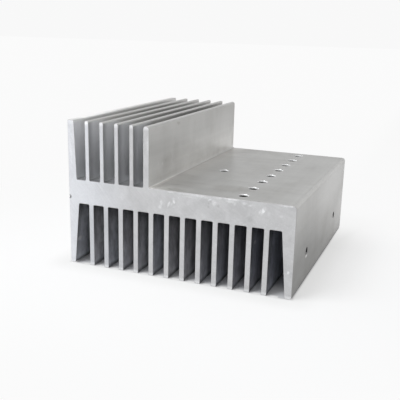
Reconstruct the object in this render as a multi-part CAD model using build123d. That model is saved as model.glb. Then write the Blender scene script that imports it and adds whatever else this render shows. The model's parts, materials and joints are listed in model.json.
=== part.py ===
from build123d import *
from math import radians, sqrt, tan
import os

# Extruded aluminium heat sink, sawn from a bar.
# A thick base carries a comb of fins below, between two tapered outer walls, and a block of fins above its
# left part. The right part of its top is a flat mounting face with a row of tapped holes.
# Frame: X across the section, Y along the bar, Z up, with the origin under the middle, on the fin tips.
# All sizes are in millimetres and degrees.

# Bar
section_width = 120.65
sawn_length = 127.0
lower_fin_height = 33.0
base_thickness = 12.7
upper_fin_height = 30.5
base_corner_radius = 1.8
channel_root_radius = 0.6
cut_edge_break = 0.15

# Comb below the base: straight fins between two outer walls that taper on their inner side
lower_fin_count = 12
lower_fin_thickness = 2.7
lower_fin_tip_radius = 0.5
left_wall_root_thickness = 5.9
left_wall_tip_thickness = 2.9
right_wall_root_thickness = 6.3
right_wall_tip_thickness = 3.3
wall_tip_radius = 1.2

# Block above the base: a tapered edge fin, thin fins and a thick shoulder fin with a round top
thin_fin_count = 4
thin_fin_thickness = 2.15
thin_fin_gap = 6.25
thin_fin_tip_radius = 0.6
end_gap = 5.4
edge_fin_root_thickness = 4.7
edge_fin_tip_thickness = 3.7
edge_fin_tip_radius = 0.5
shoulder_fin_thickness = 3.2
shoulder_foot_radius = 1.0

# Tapped holes in the mounting face: a row along the bar, and one hole beside its middle
thread_diameter = 5.0
thread_mouth_diameter = 5.5
thread_depth = 9.5
drill_point_angle = 118.0
row_pitch = 15.875
row_end_margin = 6.0
row_from_right_side = 28.1
single_hole_from_row = 27.0

# Plain holes through the right outer wall
side_hole_diameter = 4.0
side_hole_mouth_diameter = 4.4
side_hole_from_end = 27.6
side_hole_height = 15.6

# Knock on the left edge of the front cut
nick_depth = 0.65
nick_height = 36.1

# Places that follow from the sizes above
left_side = -section_width / 2
right_side = section_width / 2
front_end = -sawn_length / 2
base_top = lower_fin_height + base_thickness
overall_height = base_top + upper_fin_height
comb_width = section_width - left_wall_root_thickness - right_wall_root_thickness
lower_gap = (comb_width - lower_fin_count * lower_fin_thickness) / (lower_fin_count + 1)
shoulder_left = (
    left_side
    + edge_fin_root_thickness
    + 2 * end_gap
    + thin_fin_count * thin_fin_thickness
    + (thin_fin_count - 1) * thin_fin_gap
)
shoulder_right = shoulder_left + shoulder_fin_thickness
row_count = int((sawn_length - 2 * row_end_margin) // row_pitch) + 1
row_x = right_side - row_from_right_side
row_y = [(i - (row_count - 1) / 2) * row_pitch for i in range(row_count)]
single_hole_y = row_y[row_count // 2 - 1]
side_hole_y = sawn_length / 2 - side_hole_from_end


def fin(root, tip, root_level, tip_level, tip_radius):
    """One fin of the section, from inside the base to its tip, with left and right edges as (x, x) pairs."""
    inside = lower_fin_height + base_thickness / 2
    outline = Polyline(
        (root[0], inside),
        (root[0], root_level),
        (tip[0], tip_level),
        (tip[1], tip_level),
        (root[1], root_level),
        (root[1], inside),
        close=True,
    )
    profile = make_face(outline)
    corners = profile.vertices().filter_by_position(Axis.Y, tip_level, tip_level)
    return fillet(corners, min(tip_radius, 0.45 * abs(tip[1] - tip[0])))


def straight_fin(left, thickness, root_level, tip_level, tip_radius):
    """A fin of even thickness, with its left face at this X."""
    edges = (left, left + thickness)
    return fin(edges, edges, root_level, tip_level, tip_radius)


def base_slab():
    """The base across the whole section."""
    middle = Pos(0, lower_fin_height + base_thickness / 2)
    return middle * Rectangle(section_width, base_thickness)


def outer_wall(root_thickness, tip_thickness):
    """An outer wall of the comb, flush with the left side."""
    root = (left_side, left_side + root_thickness)
    tip = (left_side, left_side + tip_thickness)
    return fin(root, tip, lower_fin_height, 0, wall_tip_radius)


def lower_comb():
    """The fins and the two outer walls below the base."""
    first_fin = left_side + left_wall_root_thickness + lower_gap
    pitch = lower_gap + lower_fin_thickness
    fins = [
        straight_fin(first_fin + i * pitch, lower_fin_thickness, lower_fin_height, 0, lower_fin_tip_radius)
        for i in range(lower_fin_count)
    ]
    left_wall = outer_wall(left_wall_root_thickness, left_wall_tip_thickness)
    right_wall = outer_wall(right_wall_root_thickness, right_wall_tip_thickness)
    return fins + [left_wall, mirror(right_wall, about=Plane.YZ)]


def upper_block():
    """The edge fin, the thin fins and the shoulder fin above the base."""
    edge_fin = fin(
        (left_side, left_side + edge_fin_root_thickness),
        (left_side, left_side + edge_fin_tip_thickness),
        base_top,
        overall_height,
        edge_fin_tip_radius,
    )
    first_fin = left_side + edge_fin_root_thickness + end_gap
    pitch = thin_fin_gap + thin_fin_thickness
    thin_fins = [
        straight_fin(first_fin + i * pitch, thin_fin_thickness, base_top, overall_height, thin_fin_tip_radius)
        for i in range(thin_fin_count)
    ]
    round_top = shoulder_fin_thickness / 2
    shank_height = upper_fin_height - round_top
    shoulder_middle = Pos((shoulder_left + shoulder_right) / 2, base_top)
    shank = Rectangle(shoulder_fin_thickness, shank_height, align=(Align.CENTER, Align.MIN))
    shoulder_fin = shoulder_middle * (shank + Pos(0, shank_height) * Circle(round_top))
    return [edge_fin, *thin_fins, shoulder_fin]


def rounded(profile, level, low_x, high_x, radius):
    """The profile with its corners at this level, between two X places, rounded."""
    near = 0.01
    corners = profile.vertices().filter_by_position(Axis.Y, level - near, level + near)
    corners = corners.filter_by_position(Axis.X, low_x - near, high_x + near)
    return fillet(corners, radius)


def section():
    """The die's whole opening, with its roots and corners rounded."""
    profile = base_slab() + lower_comb() + upper_block()
    comb_left = left_side + left_wall_root_thickness
    comb_right = right_side - right_wall_root_thickness
    profile = rounded(profile, lower_fin_height, comb_left, comb_right, channel_root_radius)
    profile = rounded(profile, base_top, left_side, shoulder_left, channel_root_radius)
    profile = rounded(profile, base_top, shoulder_right, shoulder_right, shoulder_foot_radius)
    return rounded(profile, base_top, right_side, right_side, base_corner_radius)


def drill(diameter, mouth_diameter, depth, point_angle):
    """A drill's shape along -Z from its mouth at the origin, with a 90 degree countersink and its point."""
    radius = diameter / 2
    mouth = mouth_diameter / 2
    point = radius / tan(radians(point_angle / 2))
    outline = Polyline(
        (0, 0),
        (mouth, 0),
        (radius, radius - mouth),
        (radius, -depth),
        (0, -depth - point),
        close=True,
    )
    return revolve(Plane.XZ * make_face(outline), Axis.Z)


def tapped_holes():
    """The blind holes in the mounting face, at their thread's outer size."""
    tool = drill(thread_diameter, thread_mouth_diameter, thread_depth, drill_point_angle)
    places = [(row_x, y) for y in row_y] + [(row_x - single_hole_from_row, single_hole_y)]
    return [Pos(x, y, base_top) * tool for x, y in places]


def side_holes():
    """The holes through the right outer wall, which end in the middle of the channel behind it."""
    reach = right_wall_root_thickness + lower_gap / 2
    point = side_hole_diameter / 2 / tan(radians(drill_point_angle / 2))
    tool = drill(side_hole_diameter, side_hole_mouth_diameter, reach - point, drill_point_angle)
    inward = Rot(0, 90, 0) * tool
    return [Pos(right_side, y, side_hole_height) * inward for y in (-side_hole_y, side_hole_y)]


def edge_nick():
    """A small V knocked across the left edge of the front cut."""
    side = nick_depth * sqrt(2)
    across = Rot(0, 0, -45) * Rot(45, 0, 0) * Box(4 * side, side, side)
    return Pos(left_side, front_end, nick_height) * across


def heat_sink():
    """The bar sawn to length, with its cut edges broken, its holes drilled and its knock."""
    bar = extrude(Plane.XZ * section(), sawn_length / 2, both=True)
    bar = chamfer(bar.faces().filter_by(Axis.Y).edges(), cut_edge_break)
    return bar - tapped_holes() - side_holes() - edge_nick()


os.makedirs("parts", exist_ok=True)
export_step(heat_sink(), "parts/heat_sink.step")
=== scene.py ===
"""Looks of the extruded heat sink: mill finish, sawn ends, cut threads and the studio around it."""
import json
import math
from types import SimpleNamespace

import bmesh
import bpy
from mathutils import Matrix, Vector


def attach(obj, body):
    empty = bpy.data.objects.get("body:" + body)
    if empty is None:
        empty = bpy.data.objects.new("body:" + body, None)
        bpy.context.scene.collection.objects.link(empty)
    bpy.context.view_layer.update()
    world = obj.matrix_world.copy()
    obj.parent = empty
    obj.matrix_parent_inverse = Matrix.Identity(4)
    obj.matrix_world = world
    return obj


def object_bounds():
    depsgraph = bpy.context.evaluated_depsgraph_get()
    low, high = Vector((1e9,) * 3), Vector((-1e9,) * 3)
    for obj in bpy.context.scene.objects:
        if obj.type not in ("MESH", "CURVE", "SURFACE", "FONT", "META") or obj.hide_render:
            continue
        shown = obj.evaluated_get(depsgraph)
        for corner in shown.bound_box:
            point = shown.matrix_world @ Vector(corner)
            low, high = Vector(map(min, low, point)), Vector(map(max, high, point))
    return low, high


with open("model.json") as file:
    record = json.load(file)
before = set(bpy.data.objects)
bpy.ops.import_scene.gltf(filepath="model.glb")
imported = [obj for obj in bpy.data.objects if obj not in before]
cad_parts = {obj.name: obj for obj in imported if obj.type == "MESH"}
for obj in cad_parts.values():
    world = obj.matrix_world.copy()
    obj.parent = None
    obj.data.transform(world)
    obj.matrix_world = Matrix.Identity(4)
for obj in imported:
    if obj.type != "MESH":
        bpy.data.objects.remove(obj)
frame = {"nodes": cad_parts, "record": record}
cad_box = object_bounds()

MM = 0.001

# Camera, as it stood for the photograph, in metres, degrees and millimetres of lens
CAMERA_PLACE = Vector((0.12231, -0.33962, 0.12252))
CAMERA_YAW = 21.593
CAMERA_PITCH = -14.988
CAMERA_ROLL = -1.409
CAMERA_NEAREST = 0.01
SENSOR_WIDTH = 36.0
FOCAL_LENGTH = 57.770

# Threads of the tapped holes, in millimetres and degrees
THREAD_PITCH = 0.8
THREAD_WALL_RADIUS = 2.53
THREAD_CREST_RADIUS = 2.1
THREAD_FOOT = 0.68
THREAD_CREST = 0.14
THREAD_START = 0.75
THREAD_LENGTH = 8.0
THREAD_STEPS = 20
THREAD_TURN = 67.0

# Places on the bar, in millimetres
half_width, half_length, bar_top = (reach / MM for reach in cad_box[1])
mounts = {mount["name"]: mount for mount in frame["record"]["mounts"]}
base_top = mounts["mounting_face"]["pos_m"][2] / MM
side_hole_y = mounts["side_pair"]["dims"]["spacing_x_mm"] / 2
side_hole_z = mounts["side_pair"]["pos_m"][2] / MM
side_hole_radius = mounts["side_pair"]["dims"]["hole_r_mm"]
FRONT = cad_box[0][1] / MM
EDGE_BREAK = 0.15
CUT = half_length - EDGE_BREAK
FIN_ROOTS = 33.0
RIGHT_WALL = 6.3
FIRST_GAP = -54.425
GAP_WIDTH = 5.85
GAP_PITCH = 8.55
SHOULDER_MIDDLE = -15.9
SHOULDER_FACE = -14.3
SHOULDER_FOOT_RADIUS = 1.0
SAW_AXIS = (95.0, 0.0, 150.0)

# Each fade below is (start, end), in millimetres, with its two values after them if they aren't 0 and 1
# A tilt is a fade over one part of the surface's normal, and PATCH_TONE and HUE_SHARE run over noise levels
# A cloud is its patches' size in millimetres and the noise levels where they begin and are full
# Cells are noise cells for each millimetre along X, Y and Z

# Borders of the bar's regions
CUT_BORDER = (CUT - 0.02, CUT + 0.01)
ABOVE_BASE = (base_top - 0.4, base_top - 0.1)
BELOW_BASE = (FIN_ROOTS + 0.5, FIN_ROOTS + 0.1)
LEFT_OF_SHOULDER = (SHOULDER_MIDDLE + 0.4, SHOULDER_MIDDLE - 0.6)
INSIDE_LEFT = (0.3 - half_width, 0.7 - half_width)
INSIDE_RIGHT = (half_width - 0.3, half_width - 0.7)
ON_RIGHT_SIDE = (half_width - 0.5, half_width - 0.1)
ON_EDGE_FIN = (-55.0, -55.8)
OFF_EDGE_FIN = (-55.8, -55.0)
EDGE_FIN_CREST = (bar_top - 0.6, bar_top - 0.2)
TAPPED_TOP = (base_top - 0.02, base_top - 0.06)
TAPPED_BOTTOM = (FIN_ROOTS + 0.6, FIN_ROOTS + 1.0)
TAPPED_REACH = (half_width - 1.3, half_width - 2.3)

# Patterns that several finishes share
NOISE_MIDDLE = 0.5
FINE_LINE_CELLS = (2.4, 0.006, 2.4)
BROAD_LINE_CELLS = (0.32, 0.002, 0.32)
FINE_LINE_SHARE = 0.5
SCRATCH_CELLS = (2.2, 0.05, 2.2)
SCRATCH_EDGE = 0.08
ARCS_PER_MM = 1.5
ARC_DRIFT_CELLS = (0.05, 0.05, 0.05)
MARK_EDGE = (1.0, 0.25)
RELIEF_STRENGTH = 0.35
RELIEF_DEPTH = 0.012
BAR_SPECULAR = 0.12

# Colours of the extruded faces
MILL_GREY = (0.500, 0.496, 0.483, 1.0)
# painted light: a lighter colour in the inside corner by the shoulder's foot, against the shade there
MILL_CORNER_LIGHT = (0.80, 0.793, 0.772, 1.0)
MILL_POLISHED = (0.635, 0.63, 0.615, 1.0)
MILL_STAIN = (0.36, 0.347, 0.322, 1.0)
MILL_PALE = (0.80, 0.795, 0.785, 1.0)
# painted highlight along the fillet at the shoulder's foot
FILLET_HIGHLIGHT = (0.80, 0.79, 0.77, 1.0)
# painted highlight in a line just out from the shoulder's foot
FOOT_LINE_HIGHLIGHT = (1.0, 0.98, 0.945, 1.0)
BLACK = (0.0, 0.0, 0.0, 1.0)

# Soil and tones of the extruded faces
MILL_METALLIC = 0.42
MILL_ROUGHNESS = 0.33
SOILED_ROUGHNESS = 0.22
DULL_CLOUD = (26.0, 0.42, 0.72)
DULL_SHARE = 0.20
GRIME_CLOUD = (6.0, 0.50, 0.75)
GRIME_SHARE = 0.08
STAIN_PUSH = ((0.25, 0.25, 0.25), 5.0)
STAIN_GRIME = 0.4
LINE_TONE = 0.22
LINE_BASE = 0.89
MILL_SCRATCHES = ((0.5, 0.3, 0.7), 0.70)
MILL_SCRATCH_TONE = 0.10
BAND_CELLS = (0.03, 0.12, 0.03)
BAND_TONE = 0.14
SMEAR_CELLS = (0.05, 0.20, 0.05)
SMEAR_TONE = 0.22

# Top and right side, with painted light in the inside corner and by the shoulder's foot, a painted sheen
# along the right edge and painted shade low on the right side
# reach and fade of the painted light in the inside corner
CORNER_LIGHT_REACH = (24.0, 0.0)
CORNER_LIGHT_FADE = (-60.0, -10.0, 0.55, 1.0)
POLISHED_TILT = (0.02, 0.40)
BASE_CORNER = (base_top + 2.0, base_top + 1.0)
# painted sheen along the top's right edge, with the top a little darker further in, less towards the back
TOP_SHEEN = (half_width - 11.0, half_width - 2.0, -0.035, 0.05)
TOP_SHEEN_FADE = (50.0, 0.0, 0.3, 1.0)
# painted light on the top near the shoulder's foot, against the shade there
TOP_CORNER_PAINTED_LIGHT = (0.0, -11.0, 0.0, 0.17)
CLEAR_OF_FOOT = (1.0, 2.0)
# painted shade: the right side darker towards its bottom, reaching higher and darker at the front
SIDE_PAINTED_SHADE = (46.0, 14.0, 0.06, 0.49)
SIDE_PAINTED_SHADE_FADE = (-half_length, 30.0, 1.0, 0.75)
SIDE_FALL = (-45.0, 75.0, 0.0, 31.0)

# Shoulder fin's face, crest and foot, with a painted sheen on the face and painted highlights along the foot
SHOULDER_CREST = (bar_top - 1.1, bar_top - 0.3)
# painted sheen on the front of the shoulder's face
SHOULDER_NEAR = (0.0, -5.0)
SHOULDER_FADE = (40.0, -20.0)
SHOULDER_SHEEN = 0.07
# painted highlight on the fillet at the shoulder's foot, fading towards the back, with its own roughness and
# metal share
FILLET_BORDER = (SHOULDER_FOOT_RADIUS + 0.05, SHOULDER_FOOT_RADIUS - 0.15)
FILLET_FADE = (10.0, -55.0, 0.3, 1.0)
FILLET_TILT = (0.35, 0.75)
FILLET_ROUGHNESS = 0.30
FILLET_METALLIC = 0.55
# painted highlight just out from the shoulder's foot, with little metal share so that it reads lighter
FOOT_LINE_BORDER = (2.5, 0.9)
FOOT_LINE_FADE = (-20.0, -52.0, 0.25, 1.0)
FOOT_LINE_TILT = (0.4, 0.8)
FOOT_LINE_METALLIC = 0.05

# Finish between the upper fins, with painted light and shade: lighter near the front, high on the walls and
# on the edge fin's face, painted shade further in, at the mouths and roots, high up and on the floors near
# the front
UPPER_GREY = (0.945, 0.952, 0.968, 1.0)
# painted shade further in along the channels, at their mouths, roots and far high parts, and on their floors
UPPER_SHADED = (0.66, 0.652, 0.64, 1.0)
UPPER_INWARD = (FRONT + 8.0, FRONT + 25.0)
UPPER_MOUTH_SHADE = (-55.3, -52.0, 1.0, 0.60)
UPPER_MOUTH_FADE = (FRONT + 6.0, FRONT)
UPPER_ROOT_SHADE = (base_top + 1.0, base_top + 22.0, 0.92, 1.0)
UPPER_HIGH = (bar_top - 14.0, bar_top - 4.0)
UPPER_HIGH_SHADE = (-40.0, -28.0, 1.0, 0.90)
UPPER_FAR_SHADE = (-54.0, -50.0, 1.0, 0.77)
UPPER_FAR_FADE = (-45.0, 10.0)
UPPER_FLOOR_SHADE = (FRONT + 3.0, FRONT + 12.0, 0.74, 1.0)
UPPER_FLOOR_BORDER = (base_top + 0.7, base_top + 0.3)
UPPER_FLOOR_TILT = (0.3, 0.6)
# painted light high on the channel walls and on the edge fin's face
CREST_LIGHT = (0.90, 0.885, 0.86, 1.0)
CREST_SHARE = 0.28
CREST_FADE = (35.0, -40.0)
CREST_ACROSS = (-20.0, -50.0, 0.3, 1.2)
EDGE_FIN_LIGHT = (-55.0, -52.0, 1.02, 1.0)

# Finish between the lower fins, with painted shade to the right, at the mouths, feet and roots and deeper in
LOWER_GREY = (0.83, 0.85, 0.90, 1.0)
# painted shade towards the right-hand channels
LOWER_SHADED = (0.720, 0.745, 0.815, 1.0)
LOWER_PALE = (0.93, 0.935, 0.95, 1.0)
LOWER_WARMTH = (1.05, 1.0, 0.95)
LOWER_SHADE_FADE = (-5.0, 45.0)
# painted shade at the mouths, at the feet, at the roots and deeper in
LOWER_MOUTH_SHADE = (9.0, 18.0, 0.75, 0.47)
LOWER_MOUTH_ACROSS = (20.0, 55.0, 1.0, 0.7)
LOWER_MOUTH_REACH = (-55.0, 50.0, 5.5, 11.0)
LOWER_FOOT_SHADE = (0.4, 3.0, 0.35, 1.0)
LOWER_ROOT_SHADE = (FIN_ROOTS, FIN_ROOTS - 9.0, 0.55, 1.0)
LOWER_DEEP_SHADE = (10.0, 42.0, 0.60, 0.80)
LOWER_DEEP_FADE = (FRONT + 7.0, FRONT + 13.0)
PATCH_CELLS = (0.3, 0.3, 0.16)
PATCH_TONE = (0.35, 0.65, 0.84, 1.10)
HUE_CELLS = (0.10, 0.01, 0.01)
HUE_SHARE = (0.42, 0.58, 0.0, 0.5)
LOWER_TO_UPPER = (FIN_ROOTS + 3.0, base_top - 3.7)

# Fin crowns, with a painted highlight on the front of the edge fin's crown, and painted light high on the
# edge fin's inner face
CROWN = (bar_top - 1.0, bar_top - 0.3)
FIN_CROWN = (0.78, 0.778, 0.765, 1.0)
EDGE_CROWN_BACK = (0.72, 0.716, 0.705, 1.0)
# painted highlight on the front of the edge fin's crown, fading towards the back
EDGE_CROWN_FRONT_HIGHLIGHT = (0.90, 0.90, 0.895, 1.0)
EDGE_CROWN_FADE = (FRONT + 90.0, FRONT + 5.0)
EDGE_CROWN_ROUGHNESS = 0.28
# painted light: a lighter, less metallic patch high on the edge fin's inner face, towards the front
INNER_FACE_LIGHT = (0.68, 0.68, 0.675, 1.0)
INNER_FACE_LIGHT_METALLIC = 0.2
INNER_FACE_LIGHT_ACROSS = (-53.0, -55.0)
INNER_FACE_LIGHT_UP = (bar_top - 6.0, bar_top - 2.0)
INNER_FACE_LIGHT_START = (FRONT + 5.0, FRONT + 12.0)
INNER_FACE_LIGHT_END = (FRONT + 60.0, FRONT + 20.0)
CHANNEL_METALLIC = 0.85
CHANNEL_ROUGHNESS = 0.5

# Finish of the drilled holes, with painted shade inside them and a painted highlight on the side bores' lips
# bright cut metal at the tapped holes' mouths, and also the painted highlight on the side bores' lips
FRESH_CUT_AND_LIP_HIGHLIGHT = (0.98, 0.98, 0.98, 1.0)
# painted shade inside the side bores
SIDE_BORE_SHADE = (0.10, 0.10, 0.10, 1.0)
# painted shade: near black on the tapped holes' walls below the mouth
TAPPED_HOLE_SHADE = (0.03, 0.03, 0.029, 1.0)
HOLE_ROUGHNESS = 0.25
HOLE_METALLIC = 1.0
MOUTH_METALLIC = 0.15
MOUTH_BORDER = (base_top - THREAD_START - 0.15, base_top - THREAD_START + 0.15)
SIDE_BORE_BORDER = (side_hole_radius + 0.45, side_hole_radius + 0.35)
SIDE_BORE_MOUTH = (half_width - 0.015, half_width - 0.045)
SIDE_BORE_END = (half_width - RIGHT_WALL - 1.0, half_width - RIGHT_WALL)
# painted highlight on the side bores' upward-facing lip
SIDE_LIP_HIGHLIGHT_TILT = (0.45, 0.75)
THREAD_GREY = (0.90, 0.90, 0.89, 1.0)
THREAD_OILY = (0.62, 0.615, 0.60, 1.0)
# painted shade: the thread darker the deeper it lies
THREAD_DEPTH_SHADE = (base_top - 1.7, base_top - THREAD_START, 0.02, 0.2)
THREAD_SCRATCHES = ((0.9, 0.4, 0.3), 0.55)
THREAD_SCRATCH_TONE = -0.15
THREAD_ROUGHNESS = 0.25
OIL_CLOUD = (1.5, 0.40, 0.70)
OIL_ROUGHNESS = 0.15

# Finish of the sawn ends, with a painted cool reflection and painted light towards the left
SAWN_BRIGHT = (0.590, 0.592, 0.600, 1.0)
# painted reflection: a cooler tint on the sawn ends towards the left
SAWN_COOL_REFLECTION = (0.580, 0.592, 0.618, 1.0)
SAWN_COOL_REFLECTION_FADE = (-15.0, -50.0)
SAWN_RUBBED = (0.93, 0.935, 0.95, 1.0)
SAWN_SCUFFED = (0.36, 0.36, 0.36, 1.0)
SAWN_METALLIC = 0.85
SAWN_ROUGHNESS = 0.40
SAWN_PUSH = ((0.9, 0.9, 0.9), 1.0)
FLECK_CLOUD = (1.3, 0.40, 0.60)
FLECK_SHARE = 0.45
SAWN_SCRATCHES = ((1.2, 0.6, 0.2), 0.66)
SAWN_SCRATCH_SHARE = 0.22
SAWN_SCRATCH_FADE = (-45.0, 10.0, 0.3, 1.0)
UPPER_TIPS = (bar_top - 2.6, bar_top - 0.8)
LOWER_TIPS = (2.2, 0.6)
TIP_RUB = (-57.0, -54.0, 0.2, 0.55)
ARC_TONE = 0.16
ARC_BASE = 0.95
HAZE_CLOUD = (11.0, 0.40, 0.70)
HAZE_TONE = -0.07
HAZE_ROUGHNESS = 0.10
MOTTLE_CLOUD = (6.0, 0.35, 0.65)
MOTTLE_TONE = (-45.0, 10.0, 0.03, 0.08)
GRAIN_CELLS = (1.6, 1.6, 1.6)
GRAIN_TONE = 0.16
# painted light: the sawn ends lighter towards the left and a little darker to the right
BASE_FALL = (-62.0, -15.0, 1.25, 0.95)
FIN_FALL = (-60.0, -44.0, 1.25, 0.96)
FINS_TO_BASE = (FIN_ROOTS - 4.0, FIN_ROOTS + 2.0)
RIGHT_FALL = (15.0, 45.0, 1.0, 0.96)

# Broken edges, with painted shade where they border the channels, and the knock on the front cut, painted as
# a dark shadow
EDGE_GREY = (0.45, 0.448, 0.442, 1.0)
# painted shade on the broken edges that border the channels
EDGE_SHADE = (0.10, 0.10, 0.10, 1.0)
EDGE_METALLIC = 0.5
EDGE_ROUGHNESS = 0.7
EDGE_TILT = (0.90, 0.80)
GAP_EDGE_TILT = (0.3, 0.5)
GAP_FLOOR_UP = (60.0, 55.0)
FIN_EDGE_UP = (34.0, 32.0)
# painted shadow of a knock on the front cut
KNOCK_SHADOW = (0.05, 0.05, 0.05, 1.0)

# Marks, each with its middle, its half sizes, its turn about Y in degrees and its strength
RUB_MARKS = [
    ((-7.5, FRONT, 39.2), (0.9, 2.0, 1.9), 0.0, 0.50),
    ((-8.1, FRONT, 36.9), (1.3, 2.0, 1.8), 10.0, 0.42),
    ((-3.4, FRONT, 38.8), (0.7, 2.0, 2.4), 27.0, 0.75),
    ((-1.9, FRONT, 38.9), (0.7, 2.0, 1.9), 25.0, 0.30),
    ((-0.6, FRONT, 40.5), (0.8, 2.0, 1.7), -5.0, 0.75),
    ((-0.8, FRONT, 41.9), (1.4, 2.0, 1.0), 0.0, 0.35),
    ((-0.5, FRONT, 37.7), (0.8, 2.0, 0.7), 0.0, 0.30),
    ((-2.5, FRONT, 45.2), (2.4, 2.0, 0.7), 0.0, 0.40),
    ((10.0, FRONT, 45.0), (11.0, 2.0, 1.1), 2.0, 0.42),
    ((8.0, FRONT, 43.8), (5.0, 2.0, 0.7), 2.0, 0.25),
    ((18.0, FRONT, 43.7), (0.6, 2.0, 1.4), 60.0, 0.80),
    ((20.2, FRONT, 42.5), (1.5, 2.0, 2.6), 0.0, 0.38),
    ((22.0, FRONT, 45.2), (3.2, 2.0, 1.2), 0.0, 0.42),
    ((28.8, FRONT, 45.4), (5.0, 2.0, 1.0), 0.0, 0.90),
    ((28.5, FRONT, 44.2), (3.4, 2.0, 1.1), 0.0, 0.45),
    ((30.6, FRONT, 43.2), (1.3, 2.0, 1.2), 0.0, 0.35),
    ((35.4, FRONT, 43.9), (1.8, 2.0, 1.0), 0.0, 0.42),
    ((38.2, FRONT, 43.3), (0.7, 2.0, 2.7), 72.0, 0.32),
    ((44.5, FRONT, 41.6), (1.1, 2.0, 1.5), 0.0, 1.00),
    ((43.6, FRONT, 40.6), (1.8, 2.0, 1.7), 0.0, 0.38),
    ((45.3, FRONT, 42.7), (1.2, 2.0, 1.7), 20.0, 0.28),
    ((47.2, FRONT, 40.5), (1.3, 2.0, 1.6), 0.0, 0.18),
    ((53.2, FRONT, 40.0), (1.5, 2.0, 0.9), 0.0, 0.25),
    ((55.0, FRONT, 45.3), (4.2, 2.0, 0.8), 0.0, 0.40),
    ((57.7, FRONT, 45.4), (1.1, 2.0, 0.9), -30.0, 0.65),
    ((58.2, FRONT, 13.3), (0.9, 2.0, 1.2), 0.0, 0.75),
    ((-41.0, FRONT, 42.5), (0.9, 2.0, 3.6), -42.0, 0.15),
    ((-29.3, FRONT, 39.4), (2.0, 2.0, 2.4), 0.0, 0.15),
    ((-14.9, FRONT, 67.0), (0.6, 2.0, 7.0), 0.0, 0.28),
    ((-58.9, FRONT, 61.0), (1.0, 2.0, 9.0), -4.0, 0.22),
]
SCUFF_MARKS = [
    ((17.4, FRONT, 40.2), (0.9, 2.0, 0.9), 0.0, 0.35),
    ((17.5, FRONT, 41.9), (0.7, 2.0, 0.9), 0.0, 0.35),
    ((18.5, FRONT, 42.9), (0.9, 2.0, 0.8), 0.0, 0.35),
    ((22.4, FRONT, 41.2), (1.0, 2.0, 1.0), 0.0, 0.35),
    ((38.5, FRONT, 36.7), (2.0, 2.0, 2.2), 0.0, 0.25),
    ((5.0, FRONT, 37.5), (3.0, 2.0, 3.0), 0.0, 0.15),
    ((-16.4, FRONT, 65.5), (0.9, 2.0, 3.4), 0.0, 0.16),
    ((-16.0, FRONT, 55.0), (1.0, 2.0, 3.0), 0.0, 0.10),
    ((-58.2, FRONT, 70.3), (0.9, 2.0, 1.8), 35.0, 0.14),
]
KNOCK_MARKS = [((-60.3, FRONT, 36.1), (1.8, 1.8, 1.5), 0.0, 1.0)]
STAIN_MARKS = [
    ((SHOULDER_FACE, -42.5, 54.8), (5.0, 10.0, 7.0), 0.0, 0.46),
    ((SHOULDER_FACE, -39.0, 47.5), (4.0, 15.0, 4.0), 0.0, 0.24),
    ((SHOULDER_FACE, 63.0, 52.0), (6.0, 7.0, 7.0), 0.0, 0.42),
    ((SHOULDER_FACE, -28.5, 73.6), (2.0, 2.6, 1.7), 0.0, 1.0),
    ((-2.0, -52.0, base_top), (9.0, 15.0, 2.0), 0.0, 0.34),
    ((-3.0, -61.5, base_top), (12.0, 6.0, 8.0), 0.0, 0.85),
    ((21.0, 2.0, base_top), (13.0, 32.0, 2.0), 0.0, 0.24),
    ((23.0, -46.0, base_top), (14.0, 10.0, 5.0), 0.0, 0.55),
    ((22.0, -28.5, base_top), (9.0, 3.0, 2.0), 0.0, 0.25),
]
PALE_MARKS = [
    ((SHOULDER_FACE, -47.8, 55.2), (1.0, 1.3, 1.2), 0.0, 0.45),
    ((SHOULDER_FACE, -52.6, 55.9), (1.0, 1.1, 1.0), 0.0, 0.35),
    ((SHOULDER_FACE, 42.0, 66.0), (2.0, 24.0, 11.0), 0.0, 0.22),
    # painted light on the right side's upper part and on its back end
    ((half_width, 30.0, 38.0), (1.0, 58.0, 18.0), 0.0, 0.34),
    ((half_width, 62.0, 16.0), (1.0, 28.0, 22.0), 0.0, 0.26),
    ((3.0, -26.0, base_top), (9.0, 19.0, 2.0), 0.0, 0.16),
    ((10.5, -42.0, base_top), (5.5, 15.0, 2.0), 0.0, 0.16),
    # painted highlight below the front side bore
    ((half_width, -side_hole_y, side_hole_z - 2.5), (1.0, 2.6, 1.3), 0.0, 0.90),
]
CHANNEL_MARKS = [
    ((-56.2, FRONT + 2.5, 13.0), (2.0, 2.8, 1.9), 0.0, 1.0),
    ((-46.0, FRONT + 7.0, 12.0), (2.0, 2.8, 1.6), 0.0, 1.0),
    ((40.3, FRONT + 6.0, 24.0), (2.0, 2.8, 1.6), 0.0, 1.0),
]

# Light of the studio: fades over the direction's up and back parts, then the lamp in metres and watts
SKY_LEVEL = (0.12, 0.45, 0.94, 0.34)
SKY_FRONT = (0.1, -0.7, 1.0, 1.30)
KEY_PLACE = Vector((-0.47, -0.47, 0.97))
KEY_AIM = Vector((0, 0, 0.03))
KEY_SIZE = 0.6
KEY_POWER = 11.0
KEY_COLOUR = (0.96, 0.98, 1.0)

# Paper under the part, with painted shade and light near it, and its places and fades in metres
foot_low, foot_high = cad_box
FLOOR_SIZE = 5.0
FLOOR_ROUGHNESS = 0.9
FLOOR_SPECULAR = 0.1
FLOOR_WHITE = (0.95, 0.95, 0.95, 1.0)
# painted shade: darker paper under the part
FLOOR_UNDER_SHADE = (0.52, 0.52, 0.53, 1.0)
FLOOR_LIFT = (0.01, 0.14, 0.72, 1.0)
FOOT_EDGE = 0.0002
FOOT_CLEAR = 0.00001
CONTACT_LIFT = (0.0, 0.001, 0.55, 1.0)
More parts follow.
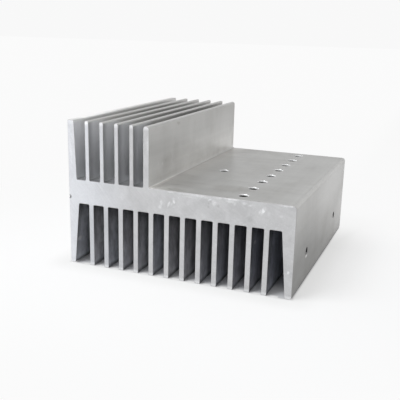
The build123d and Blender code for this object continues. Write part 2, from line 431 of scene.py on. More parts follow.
# painted light that thins the part's shadow to its right
BEYOND_PAINTED_LIGHT = 0.93
BEYOND_ACROSS = (foot_high[0] - 0.04, foot_high[0] + 0.001)
BEYOND_BEHIND = (0.3 * foot_high[1], 1.2 * foot_high[1])
UNDER_BORDER = (0.002, 0.0)
UNDER_FADE = 0.00125
# painted light on the paper under the fins, from the front, most in the middle of each gap and towards the
# right
UNDER_LIFT = 1.5
UNDER_MOST = 0.75
UNDER_GLOW = (0.6 * foot_high[0], 0.9 * foot_high[0], 0.02, 0.14)
UNDER_REACH = (foot_low[1] + 0.02, foot_low[1])
GAP_OPENS = (0.0, 0.55 * GAP_WIDTH * MM, 0.25, 1.0)
GAP_CLOSES = (GAP_WIDTH * MM, 0.9 * GAP_WIDTH * MM)
# painted shade: a darker glow close to the part's foot
GLOW_NEAR_SHADE = (0.85, 0.85, 0.845, 1.0)
GLOW_FAR = (0.96, 0.96, 0.96, 1.0)
GLOW_FADE = (0.0, 0.016)


def add(tree, kind, inputs=None, **settings):
    """A node of this kind, with its settings, and its inputs set or joined by name or number."""
    made = tree.nodes.new(kind)
    for name, value in settings.items():
        setattr(made, name, value)
    for name, value in (inputs or {}).items():
        if isinstance(value, bpy.types.NodeSocket):
            tree.links.new(value, made.inputs[name])
        else:
            made.inputs[name].default_value = value
    return made


def maths(tree, operation, *values):
    """The result of one Math node."""
    return add(tree, "ShaderNodeMath", dict(enumerate(values)), operation=operation).outputs[0]


def vector_maths(tree, operation, *values, output=0):
    """The result of one Vector Math node."""
    return add(tree, "ShaderNodeVectorMath", dict(enumerate(values)), operation=operation).outputs[output]


def ramp(tree, value, low, high, to_low=0.0, to_high=1.0):
    """The value carried smoothly from one range to another."""
    inputs = {"Value": value, "From Min": low, "From Max": high, "To Min": to_low, "To Max": to_high}
    return add(tree, "ShaderNodeMapRange", inputs, interpolation_type="SMOOTHSTEP").outputs["Result"]


def blended(tree, factor, first, second):
    """Two colours mixed."""
    return add(tree, "ShaderNodeMix", {0: factor, 6: first, 7: second}, data_type="RGBA").outputs[2]


def mixed(tree, factor, first, second):
    """Two values mixed."""
    return add(tree, "ShaderNodeMix", {0: factor, 2: first, 3: second}).outputs[0]


def product(tree, *values):
    """Several values multiplied."""
    result = values[0]
    for value in values[1:]:
        result = maths(tree, "MULTIPLY", result, value)
    return result


def weighted(tree, value, weight, rest):
    """The rest, with a share of this value added."""
    return maths(tree, "MULTIPLY_ADD", value, weight, rest)


def centred(tree, value):
    """Noise about zero."""
    return maths(tree, "SUBTRACT", value, NOISE_MIDDLE)


def scaled(tree, vector, factor):
    """A place or a colour times one factor."""
    return add(tree, "ShaderNodeVectorMath", {0: vector, "Scale": factor}, operation="SCALE").outputs[0]


def scaled_where(tree, colour, mask, factor):
    """A colour times one factor where the mask is full."""
    return scaled(tree, colour, mixed(tree, mask, 1.0, factor))


def stretched(tree, place, cells):
    """The place scaled by another factor each way, in noise cells for each millimetre."""
    return vector_maths(tree, "MULTIPLY", place, cells)


def noise(tree, place, detail=2.0, roughness=0.5, distortion=0.0):
    """Plain noise on this place, with cells about one unit wide."""
    inputs = {"Vector": place, "Scale": 1.0, "Detail": detail, "Roughness": roughness}
    return add(tree, "ShaderNodeTexNoise", {**inputs, "Distortion": distortion}).outputs["Fac"]


def new_group(name, inputs, outputs):
    """An empty node group, with its input and output nodes."""
    group = bpy.data.node_groups.new(name, "ShaderNodeTree")
    for label, kind, value in inputs:
        socket = group.interface.new_socket(label, in_out="INPUT", socket_type=kind)
        if value is not None:
            socket.default_value = value
    for label in outputs:
        group.interface.new_socket(label, in_out="OUTPUT", socket_type="NodeSocketFloat")
    return group, group.nodes.new("NodeGroupInput"), group.nodes.new("NodeGroupOutput")


def die_lines():
    """Lines that the die draws along the bar: fine ones, and broad faint ones."""
    group, given, result = new_group("die_lines", [("Place", "NodeSocketVector", None)], ["Tone", "Height"])
    place = given.outputs["Place"]
    fine = noise(group, stretched(group, place, FINE_LINE_CELLS), detail=3.0, roughness=0.6)
    broad = noise(group, stretched(group, place, BROAD_LINE_CELLS), detail=2.0)
    tone = weighted(group, fine, FINE_LINE_SHARE, product(group, broad, 1 - FINE_LINE_SHARE))
    group.links.new(tone, result.inputs["Tone"])
    group.links.new(fine, result.inputs["Height"])
    return group


def clouds():
    """Soft patches of dull oxide and handling, of a given size in millimetres."""
    group, given, result = new_group(
        "clouds",
        [
            ("Place", "NodeSocketVector", None),
            ("Size", "NodeSocketFloat", 20.0),
            ("Low", "NodeSocketFloat", 0.45),
            ("High", "NodeSocketFloat", 0.70),
        ],
        ["Mask"],
    )
    place = scaled(group, given.outputs["Place"], maths(group, "DIVIDE", 1.0, given.outputs["Size"]))
    patch = noise(group, place, detail=4.0, roughness=0.55, distortion=0.6)
    group.links.new(ramp(group, patch, given.outputs["Low"], given.outputs["High"]), result.inputs["Mask"])
    return group


def hairlines():
    """Thin scratches that run one way, turned by angles in radians."""
    group, given, result = new_group(
        "hairlines",
        [
            ("Place", "NodeSocketVector", None),
            ("Turn", "NodeSocketVector", (0.0, 0.0, 0.0)),
            ("Rarity", "NodeSocketFloat", 0.66),
        ],
        ["Mask"],
    )
    inputs = {"Vector": given.outputs["Place"], "Rotation": given.outputs["Turn"]}
    turned = add(group, "ShaderNodeMapping", inputs).outputs["Vector"]
    line = noise(group, stretched(group, turned, SCRATCH_CELLS), detail=1.0, roughness=0.4)
    high = maths(group, "ADD", given.outputs["Rarity"], SCRATCH_EDGE)
    group.links.new(ramp(group, line, given.outputs["Rarity"], high), result.inputs["Mask"])
    return group


def saw_arcs():
    """Arcs that a round saw blade leaves on the cut, about the blade's axis."""
    group, given, result = new_group(
        "saw_arcs",
        [("Place", "NodeSocketVector", None), ("Axis", "NodeSocketVector", (0.0, 0.0, 0.0))],
        ["Tone"],
    )
    place = given.outputs["Place"]
    flat = stretched(group, place, (1.0, 0.0, 1.0))
    reach = vector_maths(group, "DISTANCE", flat, given.outputs["Axis"], output=1)
    drift = noise(group, stretched(group, place, ARC_DRIFT_CELLS), detail=2.0)
    steps = add(group, "ShaderNodeCombineXYZ", {0: maths(group, "MULTIPLY", reach, ARCS_PER_MM), 1: drift})
    arc = noise(group, steps.outputs["Vector"], detail=3.0, roughness=0.6)
    group.links.new(arc, result.inputs["Tone"])
    return group


def use_group(tree, group, inputs):
    """The group placed in a material with its own values."""
    return add(tree, "ShaderNodeGroup", inputs, node_tree=group)


def cloud(tree, groups, place, size, low, high):
    """A mask of soft patches of this size."""
    inputs = {"Place": place, "Size": size, "Low": low, "High": high}
    return use_group(tree, groups["clouds"], inputs).outputs["Mask"]


def scratches(tree, groups, place, turn, rarity):
    """A mask of thin scratches that run one way."""
    inputs = {"Place": place, "Turn": turn, "Rarity": rarity}
    return use_group(tree, groups["hairlines"], inputs).outputs["Mask"]


def pushed(tree, place, cells, reach):
    """The place pushed about by noise, so that marks on it get ragged edges."""
    inputs = {"Vector": stretched(tree, place, cells), "Scale": 1.0, "Detail": 2.0}
    push = add(tree, "ShaderNodeTexNoise", inputs).outputs["Color"]
    push = vector_maths(tree, "SUBTRACT", push, (NOISE_MIDDLE, NOISE_MIDDLE, NOISE_MIDDLE))
    return vector_maths(tree, "ADD", place, scaled(tree, push, reach))


def marked(tree, place, marks):
    """The strongest of several soft marks at each place."""
    result = 0.0
    for middle, size, turn, strength in marks:
        rotation = (0.0, math.radians(turn), 0.0)
        inputs = {"Vector": place, "Location": middle, "Rotation": rotation, "Scale": size}
        near = add(tree, "ShaderNodeMapping", inputs, vector_type="TEXTURE").outputs["Vector"]
        mark = ramp(tree, vector_maths(tree, "LENGTH", near, output=1), *MARK_EDGE, 0.0, strength)
        result = maths(tree, "MAXIMUM", result, mark)
    return result


def blank_material(name):
    """A new material, with its shader, its coordinates and the place in millimetres."""
    material = bpy.data.materials.new(name)
    material.use_nodes = True
    tree = material.node_tree
    where = tree.nodes.new("ShaderNodeTexCoord")
    place = scaled(tree, where.outputs["Object"], 1 / MM)
    return material, tree, tree.nodes["Principled BSDF"], where, place


def part_places(tree, where, place):
    """The place and the normal by their parts, the masks of the regions of the bar, and the masks of the
    painted highlights along the shoulder's foot.
    """
    at = SimpleNamespace(place=place)
    at.across, at.along, at.up = add(tree, "ShaderNodeSeparateXYZ", {0: place}).outputs
    normal = add(tree, "ShaderNodeSeparateXYZ", {0: where.outputs["Normal"]})
    at.sideways, at.facing, at.upward = normal.outputs
    at.sawn = ramp(tree, maths(tree, "ABSOLUTE", at.along), *CUT_BORDER)
    above = product(tree, ramp(tree, at.up, *ABOVE_BASE), ramp(tree, at.across, *LEFT_OF_SHOULDER))
    below = product(tree, ramp(tree, at.up, *BELOW_BASE), ramp(tree, at.across, *INSIDE_RIGHT))
    inside = ramp(tree, at.across, *INSIDE_LEFT)
    at.channel = product(tree, inside, maths(tree, "MAXIMUM", above, below))
    at.tapped = product(
        tree,
        ramp(tree, at.up, *TAPPED_TOP),
        ramp(tree, at.up, *TAPPED_BOTTOM),
        ramp(tree, maths(tree, "ABSOLUTE", at.across), *TAPPED_REACH),
    )
    at.edge_crown = product(tree, ramp(tree, at.up, *EDGE_FIN_CREST), ramp(tree, at.across, *ON_EDGE_FIN))
    corner = vector_maths(tree, "SUBTRACT", place, (SHOULDER_FACE, 0.0, base_top))
    at.corner = vector_maths(tree, "LENGTH", stretched(tree, corner, (1.0, 0.0, 1.0)), output=1)
    at.fillet = product(
        tree,
        ramp(tree, at.corner, *FILLET_BORDER),
        ramp(tree, at.along, *FILLET_FADE),
        ramp(tree, at.upward, *FILLET_TILT),
    )
    at.foot_line = product(
        tree,
        ramp(tree, at.corner, *FOOT_LINE_BORDER),
        ramp(tree, at.along, *FOOT_LINE_FADE),
        ramp(tree, at.upward, *FOOT_LINE_TILT),
    )
    return at


def mill_colour(tree, at, soiled):
    """Colour of the extruded faces before their fine tones, with painted light in the inside corner and
    painted highlights along the shoulder's foot.
    """
    # painted light in the inside corner, weaker at the front
    corner_light = product(tree, ramp(tree, at.along, *CORNER_LIGHT_FADE), ramp(tree, at.corner, *CORNER_LIGHT_REACH))
    colour = blended(tree, corner_light, MILL_GREY, MILL_CORNER_LIGHT)
    colour = blended(tree, soiled, colour, MILL_STAIN)
    polished = ramp(tree, product(tree, at.sideways, at.upward), *POLISHED_TILT)
    rounds = maths(tree, "MAXIMUM", ramp(tree, at.up, *SHOULDER_CREST), ramp(tree, at.up, *BASE_CORNER))
    colour = blended(tree, product(tree, polished, rounds), colour, MILL_POLISHED)
    # painted highlight on the fillet at the shoulder's foot
    colour = blended(tree, at.fillet, colour, FILLET_HIGHLIGHT)
    # painted highlight just out from the shoulder's foot
    return blended(tree, at.foot_line, colour, FOOT_LINE_HIGHLIGHT)


def mill_tone(tree, groups, at, lines):
    """Lighter and darker tones of the extruded faces: die lines, scratches, bands and smears, with painted
    sheens on the top's right edge and the shoulder's face, and painted light on the top by the shoulder's
    foot.
    """
    tone = weighted(tree, lines, LINE_TONE, LINE_BASE)
    scuffs = scratches(tree, groups, at.place, *MILL_SCRATCHES)
    tone = weighted(tree, scuffs, MILL_SCRATCH_TONE, tone)
    bands = noise(tree, stretched(tree, at.place, BAND_CELLS), detail=2.0, roughness=0.5)
    upright = product(tree, maths(tree, "ABSOLUTE", at.sideways), centred(tree, bands))
    tone = weighted(tree, upright, BAND_TONE, tone)
    smears = noise(tree, stretched(tree, at.place, SMEAR_CELLS), detail=3.0, roughness=0.55)
    level = product(tree, maths(tree, "ABSOLUTE", at.upward), centred(tree, smears))
    tone = weighted(tree, level, SMEAR_TONE, tone)
    sheen = product(tree, ramp(tree, at.across, *TOP_SHEEN), ramp(tree, at.along, *TOP_SHEEN_FADE))
    tone = weighted(tree, sheen, at.upward, tone)
    shoulder = product(
        tree,
        ramp(tree, at.across, *SHOULDER_NEAR),
        at.sideways,
        ramp(tree, at.along, *SHOULDER_FADE),
    )
    tone = weighted(tree, shoulder, SHOULDER_SHEEN, tone)
    # painted light on the top near the shoulder's foot
    corner_painted_light = product(tree, ramp(tree, at.across, *TOP_CORNER_PAINTED_LIGHT), ramp(tree, at.corner, *CLEAR_OF_FOOT))
    return weighted(tree, corner_painted_light, at.upward, tone)


def mill_skin(tree, groups, at):
    """Colour, roughness and relief of the extruded faces that a hand reaches, with painted shade low on the
    right side.
    """
    lines = use_group(tree, groups["die_lines"], {"Place": at.place})
    dull = cloud(tree, groups, at.place, *DULL_CLOUD)
    grime = cloud(tree, groups, at.place, *GRIME_CLOUD)
    stained = marked(tree, pushed(tree, at.place, *STAIN_PUSH), STAIN_MARKS)
    stained = product(tree, stained, weighted(tree, grime, STAIN_GRIME, 1 - STAIN_GRIME))
    soiled = weighted(tree, grime, GRIME_SHARE, weighted(tree, dull, DULL_SHARE, stained))

    colour = mill_colour(tree, at, soiled)
    colour = scaled(tree, colour, mill_tone(tree, groups, at, lines.outputs["Tone"]))
    fall = ramp(tree, at.along, *SIDE_FALL)
    # painted shade low on the right side
    foot = product(
        tree,
        ramp(tree, at.across, *ON_RIGHT_SIDE),
        ramp(tree, maths(tree, "ADD", at.up, fall), *SIDE_PAINTED_SHADE),
        ramp(tree, at.along, *SIDE_PAINTED_SHADE_FADE),
    )
    colour = blended(tree, foot, colour, BLACK)
    colour = blended(tree, marked(tree, at.place, PALE_MARKS), colour, MILL_PALE)
    rough = weighted(tree, soiled, SOILED_ROUGHNESS, MILL_ROUGHNESS)
    return colour, mixed(tree, at.fillet, rough, FILLET_ROUGHNESS), lines.outputs["Height"]


def upper_channels(tree, at):
    """Colour between the upper fins, with painted light and shade: lighter near the front and high on the
    walls, painted shade further in, at the mouths and roots, high up and on the floors.
    """
    inward = ramp(tree, at.along, *UPPER_INWARD)
    colour = blended(tree, inward, UPPER_GREY, UPPER_SHADED)
    mouth = ramp(tree, at.across, *UPPER_MOUTH_SHADE)
    colour = scaled_where(tree, colour, ramp(tree, at.along, *UPPER_MOUTH_FADE), mouth)
    colour = scaled(tree, colour, ramp(tree, at.up, *UPPER_ROOT_SHADE))
    colour = scaled(tree, colour, ramp(tree, at.across, *EDGE_FIN_LIGHT))
    high = ramp(tree, at.up, *UPPER_HIGH)
    crest = product(tree, high, ramp(tree, at.along, *CREST_FADE), ramp(tree, at.across, *CREST_ACROSS))
    colour = blended(tree, product(tree, crest, inward, CREST_SHARE), colour, CREST_LIGHT)
    far = product(tree, high, ramp(tree, at.along, *UPPER_FAR_FADE))
    colour = scaled_where(tree, colour, far, ramp(tree, at.across, *UPPER_FAR_SHADE))
    colour = scaled_where(tree, colour, high, ramp(tree, at.across, *UPPER_HIGH_SHADE))
    floor = product(tree, ramp(tree, at.up, *UPPER_FLOOR_BORDER), ramp(tree, at.upward, *UPPER_FLOOR_TILT))
    return scaled_where(tree, colour, floor, ramp(tree, at.along, *UPPER_FLOOR_SHADE))


def lower_channels(tree, at):
    """Colour between the lower fins: patchy, with painted shade to the right, at the mouths, feet and roots
    and deeper in.
    """
    colour = blended(tree, ramp(tree, at.across, *LOWER_SHADE_FADE), LOWER_GREY, LOWER_SHADED)
    mouth = product(tree, ramp(tree, at.up, *LOWER_MOUTH_SHADE), ramp(tree, at.across, *LOWER_MOUTH_ACROSS))
    reach = ramp(tree, at.across, *LOWER_MOUTH_REACH)
    depth = maths(tree, "DIVIDE", maths(tree, "SUBTRACT", at.along, FRONT), reach)
    colour = scaled_where(tree, colour, ramp(tree, depth, 1.0, 0.0), mouth)
    patchy = noise(tree, stretched(tree, at.place, PATCH_CELLS), detail=3.0, roughness=0.6)
    colour = scaled(tree, colour, ramp(tree, patchy, *PATCH_TONE))
    hue = noise(tree, stretched(tree, at.place, HUE_CELLS), detail=1.0)
    warm = vector_maths(tree, "MULTIPLY", colour, LOWER_WARMTH)
    colour = blended(tree, ramp(tree, hue, *HUE_SHARE), colour, warm)
    colour = scaled(tree, colour, ramp(tree, at.up, *LOWER_FOOT_SHADE))
    colour = scaled(tree, colour, ramp(tree, at.up, *LOWER_ROOT_SHADE))
    deep = ramp(tree, at.across, *LOWER_DEEP_SHADE)
    colour = scaled_where(tree, colour, ramp(tree, at.along, *LOWER_DEEP_FADE), deep)
    return blended(tree, marked(tree, at.place, CHANNEL_MARKS), colour, LOWER_PALE)


def channel_skin(tree, at):
    """Colour, roughness and metal share between the fins, with their crowns, a painted highlight on the
    front of the edge fin's crown and painted light high on the edge fin's inner face.
    """
    level = ramp(tree, at.up, *LOWER_TO_UPPER)
    colour = blended(tree, level, lower_channels(tree, at), upper_channels(tree, at))
    # painted light high on the edge fin's inner face
    inner_light = product(
        tree,
        ramp(tree, at.across, *INNER_FACE_LIGHT_ACROSS),
        ramp(tree, at.up, *INNER_FACE_LIGHT_UP),
        ramp(tree, at.along, *INNER_FACE_LIGHT_START),
        ramp(tree, at.along, *INNER_FACE_LIGHT_END),
    )
    colour = blended(tree, inner_light, colour, INNER_FACE_LIGHT)
    edge_crown = blended(tree, ramp(tree, at.along, *EDGE_CROWN_FADE), EDGE_CROWN_BACK, EDGE_CROWN_FRONT_HIGHLIGHT)
    crowns = blended(tree, ramp(tree, at.across, *OFF_EDGE_FIN), edge_crown, FIN_CROWN)
    colour = blended(tree, ramp(tree, at.up, *CROWN), colour, crowns)
    rough = mixed(tree, at.edge_crown, CHANNEL_ROUGHNESS, EDGE_CROWN_ROUGHNESS)
    return colour, rough, mixed(tree, inner_light, CHANNEL_METALLIC, INNER_FACE_LIGHT_METALLIC)


def side_bores(tree, at):
    """Mask and colour of the holes in the right wall: painted shade inside, with a painted highlight on the
    upward-facing lip below.
    """
    middle = (0.0, side_hole_y, side_hole_z)
    here = add(tree, "ShaderNodeCombineXYZ", {0: 0.0, 1: maths(tree, "ABSOLUTE", at.along), 2: at.up})
    reach = vector_maths(tree, "DISTANCE", here.outputs["Vector"], middle, output=1)
    mask = product(
        tree,
        ramp(tree, reach, *SIDE_BORE_BORDER),
        ramp(tree, at.across, *SIDE_BORE_MOUTH),
        ramp(tree, at.across, *SIDE_BORE_END),
    )
    return mask, blended(tree, ramp(tree, at.upward, *SIDE_LIP_HIGHLIGHT_TILT), SIDE_BORE_SHADE, FRESH_CUT_AND_LIP_HIGHLIGHT)


def sawn_colour(tree, groups, at):
    """Colour of the sawn ends, with their rub marks, scuffs, rubbed fin tips and a painted cool reflection
    towards the left.
    """
    flecks = cloud(tree, groups, at.place, *FLECK_CLOUD)
    ragged = pushed(tree, at.place, *SAWN_PUSH)
    rubbed = marked(tree, ragged, RUB_MARKS)
    rubbed = product(tree, rubbed, weighted(tree, flecks, FLECK_SHARE, 1 - FLECK_SHARE))
    thin = scratches(tree, groups, at.place, *SAWN_SCRATCHES)
    thin = product(tree, thin, ramp(tree, at.across, *SAWN_SCRATCH_FADE))
    rubbed = weighted(tree, thin, SAWN_SCRATCH_SHARE, rubbed)
    tips = maths(tree, "MAXIMUM", ramp(tree, at.up, *UPPER_TIPS), ramp(tree, at.up, *LOWER_TIPS))
    tips = product(tree, tips, ramp(tree, at.across, *TIP_RUB))
    rubbed = maths(tree, "MAXIMUM", rubbed, tips)
    colour = blended(tree, ramp(tree, at.across, *SAWN_COOL_REFLECTION_FADE), SAWN_BRIGHT, SAWN_COOL_REFLECTION)
    colour = blended(tree, rubbed, colour, SAWN_RUBBED)
    return blended(tree, marked(tree, ragged, SCUFF_MARKS), colour, SAWN_SCUFFED)


def sawn_tone(tree, groups, at, arcs, haze):
    """Lighter and darker tones of the sawn ends: arcs, haze, mottle, grain, and painted light falling off
    from left to right.
    """
    tone = weighted(tree, haze, HAZE_TONE, weighted(tree, arcs, ARC_TONE, ARC_BASE))
    mottle = cloud(tree, groups, at.place, *MOTTLE_CLOUD)
    mottle = product(tree, centred(tree, mottle), ramp(tree, at.across, *MOTTLE_TONE))
    tone = maths(tree, "ADD", tone, mottle)
    grain = noise(tree, stretched(tree, at.place, GRAIN_CELLS), detail=2.0, roughness=0.6)
    tone = weighted(tree, centred(tree, grain), GRAIN_TONE, tone)
    # painted light falling off from left to right
    fins = ramp(tree, at.across, *FIN_FALL)
    base = ramp(tree, at.across, *BASE_FALL)
    painted_light_left = mixed(tree, ramp(tree, at.up, *FINS_TO_BASE), fins, base)
    return product(tree, tone, painted_light_left, ramp(tree, at.across, *RIGHT_FALL))


def sawn_skin(tree, groups, at):
    """Colour, roughness, metal share and relief of the sawn ends."""
    arcs = use_group(tree, groups["saw_arcs"], {"Place": at.place, "Axis": SAW_AXIS}).outputs["Tone"]
    haze = cloud(tree, groups, at.place, *HAZE_CLOUD)
    colour = scaled(tree, sawn_colour(tree, groups, at), sawn_tone(tree, groups, at, arcs, haze))
    broken = ramp(tree, maths(tree, "ABSOLUTE", at.facing), *EDGE_TILT)
    # painted shade on the edge breaks inside the channels
    gap_floor = product(tree, ramp(tree, at.upward, *GAP_EDGE_TILT), ramp(tree, at.up, *GAP_FLOOR_UP))
    fin_edge = product(tree, ramp(tree, at.sideways, *GAP_EDGE_TILT), ramp(tree, at.up, *FIN_EDGE_UP))
    inner = product(tree, at.channel, maths(tree, "MAXIMUM", gap_floor, fin_edge))
    colour = blended(tree, broken, colour, blended(tree, inner, EDGE_GREY, EDGE_SHADE))
    rough = weighted(tree, haze, HAZE_ROUGHNESS, SAWN_ROUGHNESS)
    rough = mixed(tree, broken, rough, EDGE_ROUGHNESS)
    metal = mixed(tree, broken, SAWN_METALLIC, EDGE_METALLIC)
    return colour, rough, metal, arcs


def bar_metal(groups):
    """Mill finish on the extruded faces, cut metal in the holes and a bright sawn finish on the two ends."""
    material, tree, shader, where, place = blank_material("mill_finish")
    at = part_places(tree, where, place)
    colour, rough, relief = mill_skin(tree, groups, at)
    channel_colour, channel_rough, channel_metal = channel_skin(tree, at)
    colour = blended(tree, at.channel, colour, channel_colour)
    rough = mixed(tree, at.channel, rough, channel_rough)
    metal = mixed(tree, at.channel, MILL_METALLIC, channel_metal)
    metal = maths(tree, "MAXIMUM", metal, product(tree, at.fillet, FILLET_METALLIC))
    # the painted highlight by the shoulder's foot takes little metal share
    metal = mixed(tree, at.foot_line, metal, FOOT_LINE_METALLIC)

    side_bore, side_colour = side_bores(tree, at)
    colour = blended(tree, side_bore, colour, side_colour)
    # painted shade on the tapped holes' walls below the bright mouth
    mouth = ramp(tree, at.up, *MOUTH_BORDER)
    colour = blended(tree, at.tapped, colour, blended(tree, mouth, TAPPED_HOLE_SHADE, FRESH_CUT_AND_LIP_HIGHLIGHT))
    rough = mixed(tree, at.tapped, rough, HOLE_ROUGHNESS)
    metal = mixed(tree, at.tapped, metal, mixed(tree, mouth, HOLE_METALLIC, MOUTH_METALLIC))

    cut_colour, cut_rough, cut_metal, cut_relief = sawn_skin(tree, groups, at)
    colour = blended(tree, at.sawn, colour, cut_colour)
    # painted shadow of the knock on the front cut
    colour = blended(tree, marked(tree, at.place, KNOCK_MARKS), colour, KNOCK_SHADOW)
    rough = mixed(tree, at.sawn, rough, cut_rough)
    metal = mixed(tree, at.sawn, metal, cut_metal)
    relief = mixed(tree, at.sawn, relief, cut_relief)
    inputs = {"Height": relief, "Strength": RELIEF_STRENGTH, "Distance": RELIEF_DEPTH * MM}
    bump = add(tree, "ShaderNodeBump", inputs)
    tree.links.new(colour, shader.inputs["Base Color"])
    tree.links.new(rough, shader.inputs["Roughness"])
    tree.links.new(metal, shader.inputs["Metallic"])
    tree.links.new(bump.outputs["Normal"], shader.inputs["Normal"])
    shader.inputs["Specular IOR Level"].default_value = BAR_SPECULAR
    return material


def thread_metal(groups):
    """Tapped thread, with cutting marks, a little old oil and painted shade that deepens down the hole."""
    material, tree, shader, where, place = blank_material("cut_thread")
    oil = cloud(tree, groups, place, *OIL_CLOUD)
    marks = scratches(tree, groups, place, *THREAD_SCRATCHES)
    up = add(tree, "ShaderNodeSeparateXYZ", {0: place}).outputs["Z"]
    # painted shade, darker with depth
    depth = ramp(tree, up, *THREAD_DEPTH_SHADE)
    shade = product(tree, depth, weighted(tree, marks, THREAD_SCRATCH_TONE, 1.0))
    colour = scaled(tree, blended(tree, oil, THREAD_GREY, THREAD_OILY), shade)
    tree.links.new(colour, shader.inputs["Base Color"])
    tree.links.new(weighted(tree, oil, OIL_ROUGHNESS, THREAD_ROUGHNESS), shader.inputs["Roughness"])
    shader.inputs["Metallic"].default_value = 1.0
    return material


def put(name, data):
    """A new object in the scene."""
    made = bpy.data.objects.new(name, data)
    bpy.context.scene.collection.objects.link(made)
    return made


def put_shape(name, shape, material):
    """A new object with this shape, in this material."""
    mesh = bpy.data.meshes.new(name)
    shape.to_mesh(mesh)
    shape.free()
    mesh.materials.append(material)
    return put(name, mesh)


def points_of(parts):
    """The points among these parts of a shape."""
    return [part for part in parts if isinstance(part, bmesh.types.BMVert)]


def put_in_order(shape):
    """Edges and faces in the order of their points, because the spin's own order isn't the same each run."""
    shape.verts.index_update()
    count = len(shape.verts)

    def rank(part):
        numbers = [point.index for point in part.verts]
        return min(numbers) * count + max(numbers)

    shape.edges.sort(key=rank)
    shape.faces.sort(key=rank)


def tapped_places():
    """The tapped holes' mouths, from the record's mounts, in metres."""
    places = []
    for name, mount in sorted(mounts.items()):
        if name.startswith("row_pair"):
            half = Vector((0, mount["dims"]["spacing_y_mm"] / 2 * MM, 0))
            places += [Vector(mount["pos_m"]) - half, Vector(mount["pos_m"]) + half]
    cross = mounts["cross_pair"]
    places.append(Vector(cross["pos_m"]) - Vector((cross["dims"]["spacing_x_mm"] / 2 * MM, 0, 0)))
    return places


def wound_ridge():
    """One thread's ridge, wound down from under the origin."""
    shape = bmesh.new()
    outline = [
        (THREAD_WALL_RADIUS, THREAD_FOOT / 2),
        (THREAD_CREST_RADIUS, THREAD_CREST / 2),
        (THREAD_CREST_RADIUS, -THREAD_CREST / 2),
        (THREAD_WALL_RADIUS, -THREAD_FOOT / 2),
    ]
    first = -THREAD_START - THREAD_FOOT / 2
    corners = [shape.verts.new((radius * MM, 0, (first + up) * MM)) for radius, up in outline]
    end_face = shape.faces.new(corners)
    turns = THREAD_LENGTH / THREAD_PITCH
    bmesh.ops.spin(
        shape,
        geom=[end_face, *end_face.edges, *corners],
        cent=(0, 0, 0),
        axis=(0, 0, 1),
        dvec=(0, 0, -THREAD_PITCH / THREAD_STEPS * MM),
        angle=-2 * math.pi * turns,
        steps=round(turns * THREAD_STEPS),
    )
    bmesh.ops.recalc_face_normals(shape, faces=shape.faces[:])
    put_in_order(shape)
    return shape


def add_threads(material):
    """A ridge of metal wound down inside each tapped hole."""
    shape = wound_ridge()
    ridge = shape.verts[:] + shape.edges[:] + shape.faces[:]
    for number, place in enumerate(tapped_places()):
        points = points_of(bmesh.ops.duplicate(shape, geom=ridge)["geom"])
        begun = Matrix.Rotation(math.radians(THREAD_TURN * number), 3, "Z")
        bmesh.ops.rotate(shape, verts=points, cent=(0, 0, 0), matrix=begun)
        bmesh.ops.translate(shape, verts=points, vec=place)
    bmesh.ops.delete(shape, geom=points_of(ridge), context="VERTS")
    threads = put_shape("hole_threads", shape, material)
    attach(threads, "root")


def add_camera():
    """The camera at the photograph's place and angle."""
    camera = bpy.data.cameras.new("camera")
    camera.sensor_width = SENSOR_WIDTH
    camera.lens = FOCAL_LENGTH
    camera.clip_start = CAMERA_NEAREST
    stand = put("camera", camera)
    turn = (
        Matrix.Rotation(math.radians(CAMERA_YAW), 4, "Z")
        @ Matrix.Rotation(math.radians(CAMERA_PITCH), 4, "X")
        @ Matrix.Rotation(math.radians(CAMERA_ROLL), 4, "Y")
        @ Matrix.Rotation(math.radians(90), 4, "X")
    )
    stand.matrix_world = Matrix.Translation(CAMERA_PLACE) @ turn
    bpy.context.scene.camera = stand


def paper_places(tree):
    """The paper's places, how far they lie from the part, and masks under, clear of and beyond it."""
    at = SimpleNamespace()
    where = tree.nodes.new("ShaderNodeTexCoord").outputs["Object"]
    at.across, at.behind, _ = add(tree, "ShaderNodeSeparateXYZ", {0: where}).outputs
    half = [(foot_high[i] - foot_low[i]) / 2 - FOOT_EDGE for i in (0, 1)]
    outside = vector_maths(tree, "SUBTRACT", vector_maths(tree, "ABSOLUTE", where), (*half, 1.0))
    outside = vector_maths(tree, "MAXIMUM", outside, (0.0, 0.0, 0.0))
    at.away = vector_maths(tree, "LENGTH", outside, output=1)
    at.under = ramp(tree, at.away, *UNDER_BORDER)
    at.clear = maths(tree, "GREATER_THAN", at.away, FOOT_CLEAR)
    at.beyond = product(
        tree,
        ramp(tree, at.across, *BEYOND_ACROSS),
        ramp(tree, at.behind, *BEYOND_BEHIND),
        at.clear,
    )
    return at


def painted_light_under_fins(tree, at):
    """Painted light on the paper that reaches in under the fins from the front, most in the middle of each
    gap.
    """
    inside = maths(tree, "MULTIPLY_ADD", at.behind, -1 / UNDER_FADE, foot_low[1] / UNDER_FADE)
    fading = product(tree, maths(tree, "EXPONENT", inside), UNDER_LIFT)
    fading = maths(tree, "MINIMUM", fading, UNDER_MOST)
    in_gap = maths(tree, "WRAP", at.across, (FIRST_GAP + GAP_PITCH) * MM, FIRST_GAP * MM)
    in_gap = maths(tree, "SUBTRACT", in_gap, FIRST_GAP * MM)
    open_gap = product(tree, ramp(tree, in_gap, *GAP_OPENS), ramp(tree, in_gap, *GAP_CLOSES))
    broad = product(tree, ramp(tree, at.across, *UNDER_GLOW), ramp(tree, at.behind, *UNDER_REACH))
    return product(tree, maths(tree, "MAXIMUM", product(tree, fading, open_gap), broad), at.under)


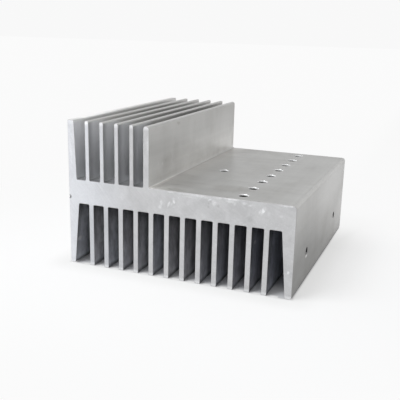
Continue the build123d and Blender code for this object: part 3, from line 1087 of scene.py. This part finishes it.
def floor_paper():
    """White paper, a little lighter than its own shading, with painted shade at the part's foot and under
    it, painted light under the fins and painted light that thins the shadow to the right.
    """
    material = bpy.data.materials.new("white_paper")
    material.use_nodes = True
    tree = material.node_tree
    shader = tree.nodes["Principled BSDF"]
    shader.inputs["Roughness"].default_value = FLOOR_ROUGHNESS
    shader.inputs["Specular IOR Level"].default_value = FLOOR_SPECULAR
    at = paper_places(tree)
    tree.links.new(blended(tree, at.under, FLOOR_WHITE, FLOOR_UNDER_SHADE), shader.inputs["Base Color"])
    lift = product(tree, ramp(tree, at.away, *FLOOR_LIFT), ramp(tree, at.away, *CONTACT_LIFT), at.clear)
    lift = mixed(tree, at.beyond, lift, BEYOND_PAINTED_LIGHT)
    lift = maths(tree, "MAXIMUM", lift, painted_light_under_fins(tree, at))
    ray = tree.nodes.new("ShaderNodeLightPath")
    seen = maths(tree, "MAXIMUM", ray.outputs["Is Camera Ray"], ray.outputs["Is Glossy Ray"])
    seen = maths(tree, "MAXIMUM", seen, ray.outputs["Is Transmission Ray"])
    bright = maths(tree, "MAXIMUM", ramp(tree, at.away, *GLOW_FADE), at.beyond)
    glow_colour = blended(tree, bright, GLOW_NEAR_SHADE, GLOW_FAR)
    glow = add(tree, "ShaderNodeEmission", {"Color": glow_colour, "Strength": 1.0})
    paper = add(tree, "ShaderNodeMixShader", {0: maths(tree, "MULTIPLY", lift, seen)})
    tree.links.new(shader.outputs["BSDF"], paper.inputs[1])
    tree.links.new(glow.outputs["Emission"], paper.inputs[2])
    tree.links.new(paper.outputs["Shader"], tree.nodes["Material Output"].inputs["Surface"])
    return material


def add_floor():
    """A sheet of white paper under the part."""
    shape = bmesh.new()
    bmesh.ops.create_grid(shape, x_segments=1, y_segments=1, size=FLOOR_SIZE)
    floor = put_shape("floor", shape, floor_paper())


def add_light():
    """Even light all round, paler at the horizon, and one large soft lamp at the front left."""
    world = bpy.data.worlds.new("studio")
    bpy.context.scene.world = world
    world.use_nodes = True
    tree = world.node_tree
    where = tree.nodes.new("ShaderNodeTexCoord").outputs["Generated"]
    _, back, up = add(tree, "ShaderNodeSeparateXYZ", {0: where}).outputs
    level = product(tree, ramp(tree, up, *SKY_LEVEL), ramp(tree, back, *SKY_FRONT))
    tree.links.new(level, tree.nodes["Background"].inputs["Color"])
    lamp = bpy.data.lights.new("key", "AREA")
    lamp.energy = KEY_POWER
    lamp.size = KEY_SIZE
    lamp.color = KEY_COLOUR
    aim = (KEY_AIM - KEY_PLACE).to_track_quat("-Z", "Y").to_matrix().to_4x4()
    put("key", lamp).matrix_world = Matrix.Translation(KEY_PLACE) @ aim


def dress_part():
    """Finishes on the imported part, and the threads in its holes."""
    groups = {made.name: made for made in (die_lines(), clouds(), hairlines(), saw_arcs())}
    node = frame["nodes"]["heat_sink"]
    node.material_slots[0].link = "OBJECT"
    node.material_slots[0].material = bar_metal(groups)
    add_threads(thread_metal(groups))


bpy.context.scene.view_settings.view_transform = "Standard"
dress_part()
add_floor()
add_light()
add_camera()
